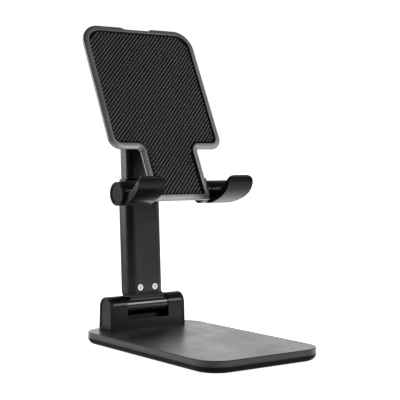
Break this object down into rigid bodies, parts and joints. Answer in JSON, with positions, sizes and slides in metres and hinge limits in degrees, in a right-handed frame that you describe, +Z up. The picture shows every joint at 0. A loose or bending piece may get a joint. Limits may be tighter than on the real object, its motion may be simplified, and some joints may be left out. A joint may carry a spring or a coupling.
{
  "type": "phone stand",
  "caption": "Foldable telescopic desk stand for a phone: weighted base, hinged sliding mast, tilting T-shaped rest with textured pad and fold-up hooks",
  "frame": {"origin": "centre of the base's underside, on the desk", "axes": "+X to the stand's right side seen from the front, -Y towards the user, +Z up"},
  "size_m": [0.0768, 0.129, 0.1792],
  "materials": {
    "soft_touch_black": "soft-touch satin",
    "satin_black": "satin",
    "gloss_black": "gloss",
    "tube_paint": "fine textured black coating",
    "frame_grey": "satin",
    "pad_rubber": "bumped",
    "mat_rubber": "matte",
    "guide_nylon": "natural black nylon",
    "ballast_steel": "mill",
    "screw_steel": "nickel plated"
  },
  "bodies": {
    "base": {"base_cover": "soft_touch_black", "base_tray": "satin_black", "base_weight": "ballast_steel", "base_mat": "mat_rubber", "base_screws": "screw_steel", "housing_screws": "screw_steel", "hinge_housing": "satin_black", "hinge_cap_left": "gloss_black", "hinge_cap_right": "gloss_black", "hinge_pin": "screw_steel", "hinge_springs": "screw_steel", "hinge_nut": "screw_steel"},
    "arm": {"hinge_knuckle": "gloss_black", "outer_tube": "tube_paint", "arm_screws": "screw_steel", "tube_collar": "gloss_black", "tube_guide": "guide_nylon"},
    "mast": {"inner_tube": "tube_paint", "slider_foot": "guide_nylon", "slider_spring": "screw_steel", "tilt_knuckle": "satin_black", "cross_pin": "screw_steel"},
    "rest": {"plate_frame": "frame_grey", "plate_shell": "satin_black", "plate_pad": "pad_rubber", "plate_bracket": "satin_black", "bracket_screws": "screw_steel", "tilt_pin": "screw_steel", "tilt_washer": "screw_steel", "tilt_nut": "screw_steel", "hook_pins": "screw_steel", "hook_washers": "guide_nylon"},
    "left_hook": {"hook_left": "satin_black", "hook_cap_left": "satin_black"},
    "right_hook": {"hook_right": "satin_black", "hook_cap_right": "satin_black"}
  },
  "joints": [
    {"name": "arm_fold", "type": "hinge", "parent": "base", "child": "arm", "pos_m": [0, 0.0538, 0.0196], "axis": [1, 0, 0], "range_deg": [0, 30]},
    {"name": "mast_slide", "type": "slide", "parent": "arm", "child": "mast", "axis": [0, 0.0523, 0.9986], "range_m": [-0.04, 0]},
    {"name": "plate_tilt", "type": "hinge", "parent": "mast", "child": "rest", "pos_m": [0, 0.06154, 0.15208], "axis": [-1, 0, 0], "range_deg": [-22.9, 64]},
    {"name": "left_hook_fold", "type": "hinge", "parent": "rest", "child": "left_hook", "pos_m": [-0.029, 0.02238, 0.08548], "axis": [-1, 0, 0], "range_deg": [0, 95]},
    {"name": "right_hook_fold", "type": "hinge", "parent": "rest", "child": "right_hook", "pos_m": [0.029, 0.02238, 0.08548], "axis": [-1, 0, 0], "range_deg": [0, 95]}
  ]
}
